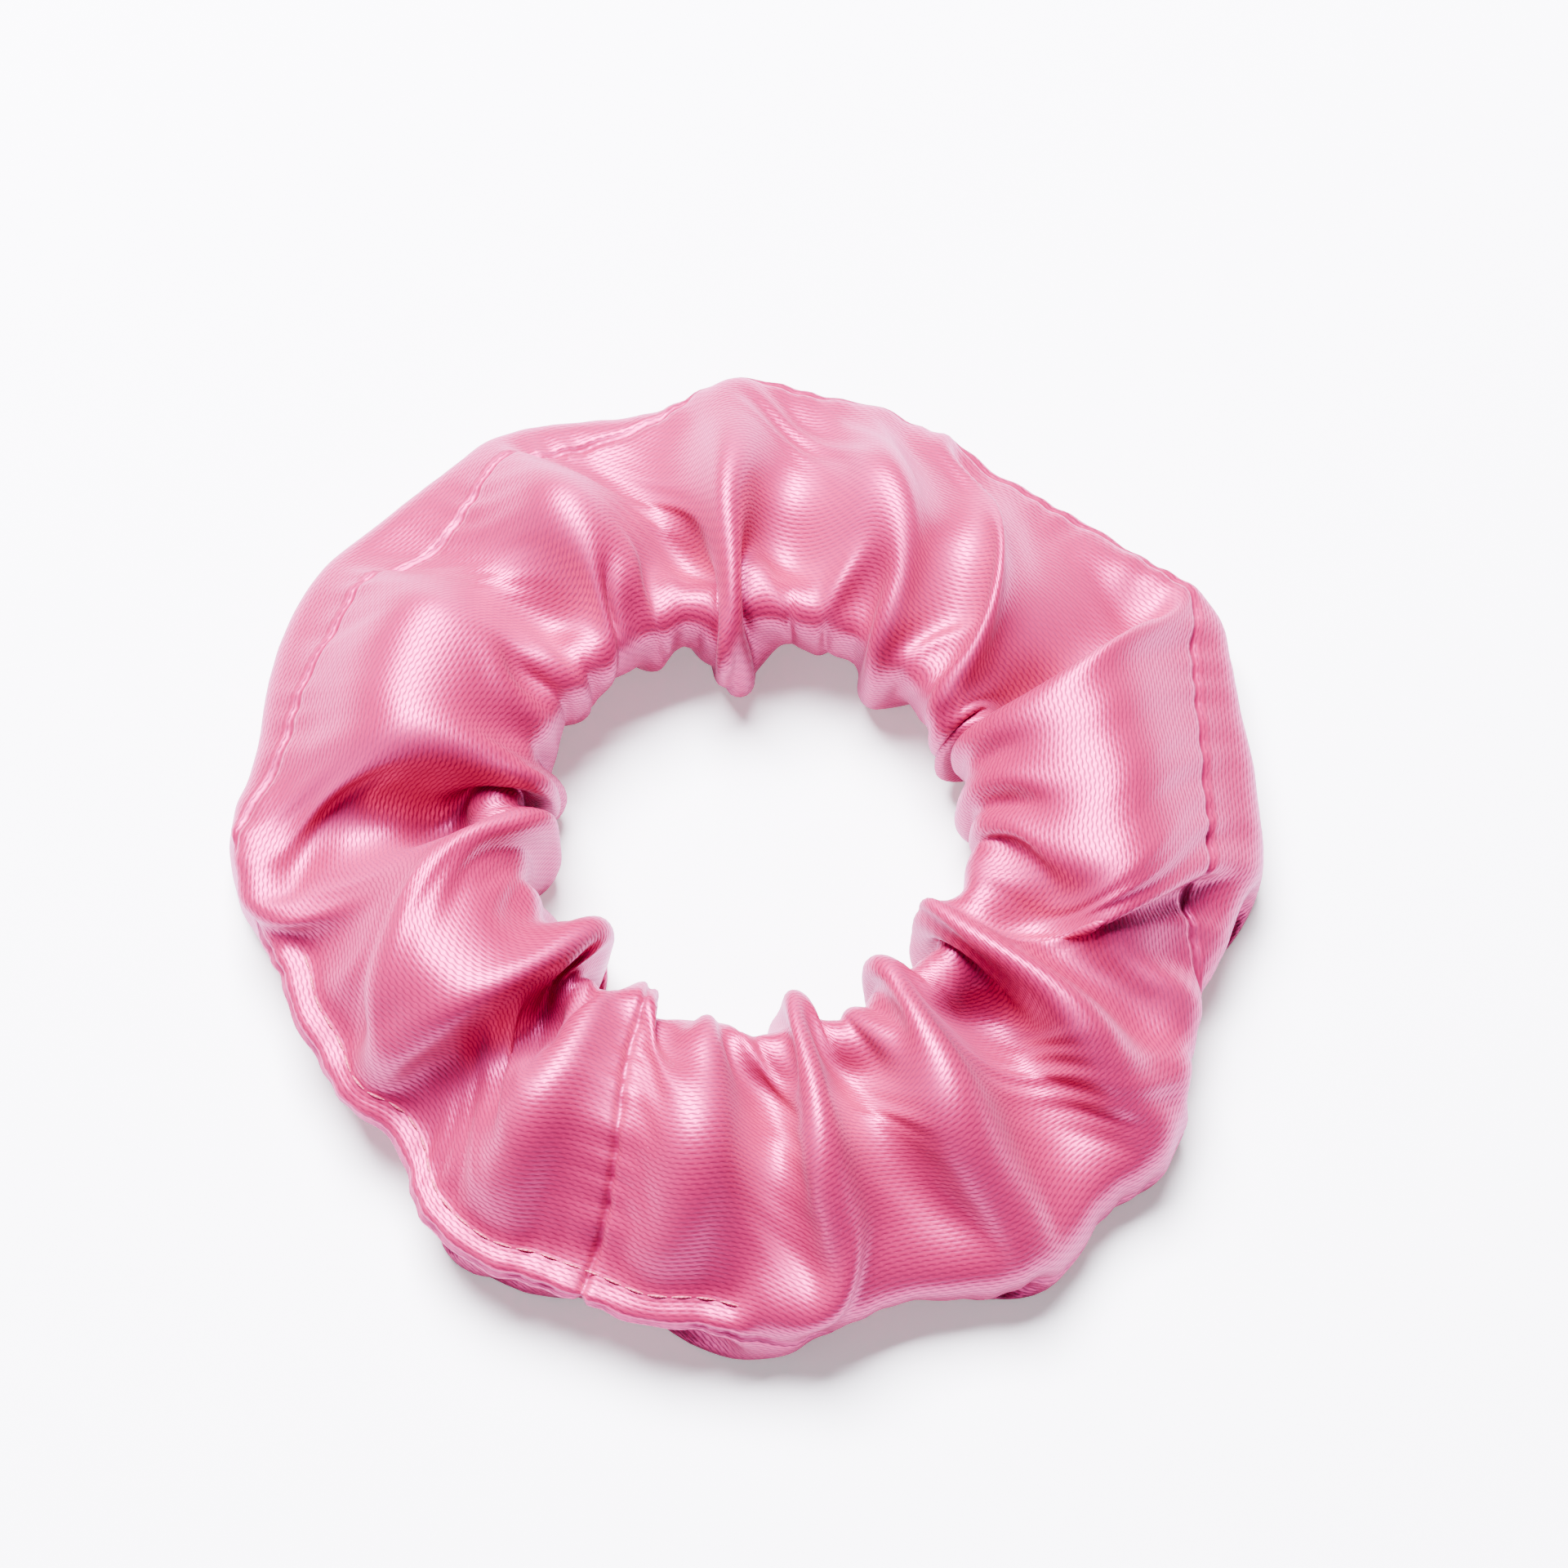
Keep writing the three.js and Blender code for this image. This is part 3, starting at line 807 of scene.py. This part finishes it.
# %% Stitches
def stitches(name, starts, ends, up, thickness):
    """One closed grain of thread from each start to each end.

    Round the middle line, the radius swells as the square root of a sine, and the line itself rises
    in the middle by half a thickness, as a thread does between two holes.
    """
    count, rings, sides = len(starts), 7, 6
    t = np.linspace(0, 1, rings)[None, :, None, None]
    angle = (np.arange(sides) / sides * 2 * np.pi)[None, None, :, None]
    starts, ends, up = (v[:, None, None, :] for v in (starts, ends, up))
    side = unit(np.cross(up, ends - starts))
    swell = 0.5 * thickness * np.sqrt(np.sin(np.pi * np.clip(t, 0.02, 0.98)))
    line = starts + (ends - starts) * t + up * (0.5 * thickness * (np.sin(np.pi * t) - 0.3))
    points = line + swell * (side * np.cos(angle) + up * np.sin(angle))
    faces, share = grid_faces(rings, sides, closed_rows=False)
    offsets = (np.arange(count) * rings * sides)[:, None, None]
    first_cap = np.arange(sides)[::-1]
    caps = np.stack([first_cap, (rings - 1) * sides + np.arange(sides)])
    caps = np.concatenate([caps[:, [0, 1, 2, 3]], caps[:, [0, 3, 4, 5]]])
    cap_share = np.zeros((len(caps), 4, 2))
    faces = np.concatenate([faces, caps])[None] + offsets
    share = np.broadcast_to(np.concatenate([share, cap_share])[None], (count, len(faces[0]), 4, 2))
    return make_piece(name, points, faces.reshape(-1, 4), share, thread)


# %% A row of stitches
def stitch_row(name, along, rnd, length, gap, lift, thickness=THREAD_THICKNESS):
    """Stitches along a line on the cloth, given as shares of its length and girth."""
    line = on_cloth(sleeve, along, rnd)
    walked = np.append(0, np.cumsum(np.linalg.norm(np.diff(line, axis=0), axis=1)))
    count = max(1, round(walked[-1] / (length + gap)))
    begin = np.arange(count) * walked[-1] / count
    ways = []
    finish = begin + length * walked[-1] / (count * (length + gap))
    for distance in (begin, finish, begin + length / 2):
        a, b = np.interp(distance, walked, along), np.interp(distance, walked, rnd)
        up = unit(on_cloth(sleeve_normals, a, b))
        ways.append((on_cloth(sleeve, a, b) + lift * up, up))
    piece = stitches(name, ways[0][0], ways[1][0], ways[2][1], thickness)
    print("  %d stitches on %.0f mm" % (count, walked[-1] / MM))
    return piece


# %% Seams
FINE_THREAD = 0.2 * MM
BESIDE = 0.15 * MM  # from the seam's line to each thread
UNDER = -CLOTH_THICKNESS - 0.2 * MM  # seams are sewn inside out: their thread is under the groove
full = np.linspace(0, 1, 2001)
threads_made = {}
for strand, side in (("needle", 1), ("bobbin", -1)):
    threads_made[f"long_seam_{strand}_thread"] = stitch_row(
        f"long_seam_{strand}_stitches",
        full,
        full * 0 + side * BESIDE / TUBE_GIRTH,
        length=2.2 * MM,
        gap=0.3 * MM,
        lift=UNDER,
        thickness=FINE_THREAD,
    )
for strand, side in (("needle", -1), ("bobbin", 1)):
    threads_made[f"cross_seam_{strand}_thread"] = stitch_row(
        f"cross_seam_{strand}_stitches",
        full * 0 + side * BESIDE / TUBE_LENGTH,
        full,
        length=2.2 * MM,
        gap=0.3 * MM,
        lift=UNDER,
        thickness=FINE_THREAD,
    )

# %% [markdown]
# ## The closing topstitch
# The tube is turned right side out through a gap in the long seam, and the gap is closed by a row
# of straight stitches near the edge, through both layers. It passes the cross seam.

# %% Topstitch
seam_line_angle = np.unwrap(np.arctan2(sleeve[:, 0, 1], sleeve[:, 0, 0]))
seam_line_angle = np.degrees(seam_line_angle - seam_line_angle[0]) + np.degrees(
    np.arctan2(sleeve[0, 0, 1], sleeve[0, 0, 0])
)
camera_angle = np.mod(seam_line_angle - CAMERA_TURN, 360)
order = np.argsort(camera_angle)
signed = np.where(lines_along > 0.5, lines_along - 1, lines_along)
gap_ends = np.interp([TOPSTITCH_FROM, TOPSTITCH_TO], camera_angle[order], signed[order])
run = np.linspace(gap_ends[0], gap_ends[1], 1200)
for strand, side in (("needle", 1), ("bobbin", -1)):
    threads_made[f"closing_topstitch_{strand}_thread"] = stitch_row(
        f"closing_topstitch_{strand}_stitches",
        run,
        run * 0 + side * TOPSTITCH_MARGIN / TUBE_GIRTH,
        length=2.0 * MM,
        gap=0.45 * MM,
        lift=0.05 * MM,
    )

# %% [markdown]
# ## The elastic
# Flat elastic is rubber cords woven into polyester, so its faces are ribbed along its length. The
# two ends are lapped and joined with a zigzag. It lies inside the sleeve and shows only if the
# cloth is cut away, but the ring can't work without it.

# %% Woven elastic
PICKS = 150  # weft threads along the band, drawn coarser than the real ones
woven_elastic, tree, shader = new_material("woven polyester and rubber elastic")
uv = add_node(tree, "ShaderNodeUVMap", {"uv_map": "UVMap"}).outputs[0]
place = add_node(tree, "ShaderNodeSeparateXYZ", Vector=uv).outputs
turn = add_node(tree, MATH, "MULTIPLY", _0=place[0], _1=PICKS * math.pi).outputs[0]
wave = add_node(tree, MATH, "SINE", _0=turn).outputs[0]
picks = add_node(tree, MATH, "ABSOLUTE", _0=wave).outputs[0]
weft = add_node(tree, MIX, COLOURS, Factor=picks, A=colour("#DCD8D0"), B=colour("#F6F4EF"))
bump = add_node(tree, "ShaderNodeBump", Height=picks, Strength=0.5, Distance=0.1 * MM).outputs[0]
tree.links.new(weft.outputs[2], shader.inputs["Base Color"])
tree.links.new(bump, shader.inputs["Normal"])
shader.inputs["Roughness"].default_value = 0.8
shader.inputs["IOR"].default_value = 1.5
shader.inputs["Sheen Weight"].default_value = 0.2
print("elastic: %d nodes" % len(tree.nodes))

# %% Elastic band
JOIN_ANGLE = math.radians(-112)
LAP = 10 * MM
lap_turn = LAP / ((ELASTIC_INNER + ELASTIC_OUTER) / 2)
turns = np.linspace(0, 2 * np.pi + lap_turn, 361)
step_out = np.clip((turns - 1.6 * np.pi) / (0.4 * np.pi - 0.1), 0, 1)
step_out = (ELASTIC_THICKNESS + 0.3 * MM) * step_out**2 * (3 - 2 * step_out)
rib = np.linspace(-1, 1, 25)
rib_height = 0.12 * MM * np.abs(np.sin(3 * np.pi * rib)) - 0.12 * MM
outer_side = np.stack([ELASTIC_THICKNESS / 2 + rib_height, rib * ELASTIC_WIDTH / 2], -1)
inner_side = np.stack([-ELASTIC_THICKNESS / 2 - rib_height, rib * ELASTIC_WIDTH / 2], -1)[::-1]
section = np.concatenate([outer_side, inner_side])
radius = ELASTIC_INNER + ELASTIC_THICKNESS / 2 + step_out[:, None] + section[None, :, 0]
angle = (JOIN_ANGLE - lap_turn / 2 + turns)[:, None]
height = RING_MIDDLE + np.broadcast_to(section[None, :, 1], radius.shape)
band = np.stack([radius * np.cos(angle), radius * np.sin(angle), height], -1)
band_faces, band_uv = grid_faces(len(turns), len(section), closed_rows=False)
half = len(rib)
low = np.arange(half - 1)
cap = np.stack([low, low + 1, 2 * half - 2 - low, 2 * half - 1 - low], -1)
caps = np.concatenate([cap[:, ::-1], cap + (len(turns) - 1) * len(section)])
elastic_band = make_piece(
    "flat_elastic",
    band,
    np.concatenate([band_faces, caps]),
    np.concatenate([band_uv, np.zeros((len(caps), 4, 2))]),
    woven_elastic,
)


# %% Zigzag tack
def zigzag(name, radius):
    """The tack across the lap: stitches that swing across the band, on one of its faces."""
    count = 9
    i = np.arange(count + 1)
    angle = JOIN_ANGLE + (i / count - 0.5) * 7 * MM / radius
    height = RING_MIDDLE + np.where(i % 2, 1, -1) * 2 * MM
    corner = np.stack([radius * np.cos(angle), radius * np.sin(angle), height], -1)
    outside = 1 if radius > ELASTIC_INNER else -1
    out = np.stack([np.cos(angle), np.sin(angle), 0 * angle], -1) * outside
    return stitches(name, corner[:-1], corner[1:], unit(out[:-1] + out[1:]), THREAD_THICKNESS)


threads_made["elastic_tack_needle_thread"] = zigzag(
    "elastic_tack_needle_stitches", ELASTIC_INNER - 0.1 * MM
)
threads_made["elastic_tack_bobbin_thread"] = zigzag(
    "elastic_tack_bobbin_stitches", ELASTIC_INNER + 2 * ELASTIC_THICKNESS + 0.4 * MM
)

# %% [markdown]
# ## Pieces in place of the CAD parts
# The ring has two bodies, its left and right halves, which slide apart as it stretches. Every piece
# crosses both. Each piece hides the CAD parts that it stands for, and its placing is baked into it.

# %% Replace the CAD parts
stretches(satin_sleeve, "satin", "sleeve_left_half", "sleeve_right_half")
stretches(elastic_band, "woven_elastic", "elastic_band")
for node, piece in threads_made.items():
    stretches(piece, "satin_thread", node)
print(len(threads_made) + 2, "pieces ride on the frame")

# %% [markdown]
# ## Floor, light and camera
# The ring lies on a pale sheet under one broad light from above and behind, which gives the soft
# highlights on the folds and a faint shadow. The room itself is dim, so that the valleys stay deep
# in colour, but what shows of it above the floor is pale. The camera looks down steeply from a
# little to the side.

# %% Floor
floor_material, tree, shader = new_material("matt white card")
grain = add_node(tree, NOISE, Scale=400.0, Detail=2.0).outputs[0]
card = add_node(tree, MIX, COLOURS, Factor=grain, A=colour("#F3F3F5"), B=colour("#F6F6F7"))
tree.links.new(card.outputs[2], shader.inputs["Base Color"])
shader.inputs["Roughness"].default_value = 0.9
shader.inputs["Emission Color"].default_value = colour("#FCFCFF")
shader.inputs["Emission Strength"].default_value = 0.42
reach = np.array([-3.0, 3.0])
floor_grid = np.stack(np.meshgrid(reach, reach, indexing="ij"), -1).reshape(-1, 2)
floor_points = np.concatenate([floor_grid, np.full((4, 1), FLOOR)], 1)
floor_faces, floor_uv = grid_faces(2, 2, False, False)
floor_piece = make_piece("floor", floor_points, floor_faces, floor_uv, floor_material)


# %% Lights
def softbox(name, place, size, power, tint):
    """A square area light that faces the ring."""
    lamp = bpy.data.lights.new(name, "AREA")
    lamp.size = size
    lamp.energy = power
    lamp.color = colour(tint)[:3]
    holder = bpy.data.objects.new(name, lamp)
    holder.location = place
    holder.rotation_euler = (-Vector(place)).to_track_quat("-Z", "Y").to_euler()
    bpy.context.scene.collection.objects.link(holder)


camera_turn = math.radians(CAMERA_TURN)
RIGHT = Vector((math.cos(camera_turn), math.sin(camera_turn), 0))
AWAY = Vector((-math.sin(camera_turn), math.cos(camera_turn), 0))
UP = Vector((0, 0, 1))
softbox("window", 0.45 * AWAY - 0.15 * RIGHT + 0.85 * UP, 0.6, 132.0, "#F8F5FF")
softbox("fill", -0.55 * RIGHT - 0.25 * AWAY + 0.55 * UP, 0.5, 1.0, "#F2F6FF")

ROOM_LIGHT, ROOM_SEEN = 0.05, 2.0  # strength of the room as a light, and as the camera sees it
world = bpy.data.worlds.new("pale room")
world.use_nodes = True
world_tree = world.node_tree
seen = add_node(world_tree, "ShaderNodeLightPath").outputs["Is Camera Ray"]
strength = add_node(
    world_tree, "ShaderNodeMapRange", Value=seen, To_Min=ROOM_LIGHT, To_Max=ROOM_SEEN
).outputs[0]
world_tree.nodes["Background"].inputs["Color"].default_value = colour("#F4F4FF")
world_tree.links.new(strength, world_tree.nodes["Background"].inputs["Strength"])
bpy.context.scene.world = world
print(len(bpy.data.lights), "lights and a pale room")

# %% Camera
CAMERA_TILT = math.radians(64.75)  # above the floor
CAMERA_DISTANCE = 0.400
CAMERA_ANGLE = math.radians(23.56)
AIM_RIGHT, AIM_AWAY = 3.77 * MM, 5.44 * MM  # the ring lies a little off the middle of the view
target = AIM_RIGHT * RIGHT + AIM_AWAY * AWAY + RING_MIDDLE * UP
back = math.sin(CAMERA_TILT) * UP - math.cos(CAMERA_TILT) * AWAY
camera_data = bpy.data.cameras.new("camera")
camera_data.angle = CAMERA_ANGLE
camera_data.clip_start = 0.01
camera = bpy.data.objects.new("camera", camera_data)
camera.location = target + CAMERA_DISTANCE * back
camera.rotation_euler = (-back).to_track_quat("-Z", "Y").to_euler()
bpy.context.scene.collection.objects.link(camera)
bpy.context.scene.camera = camera
print("camera %.0f mm from the middle of its view" % (CAMERA_DISTANCE / MM))
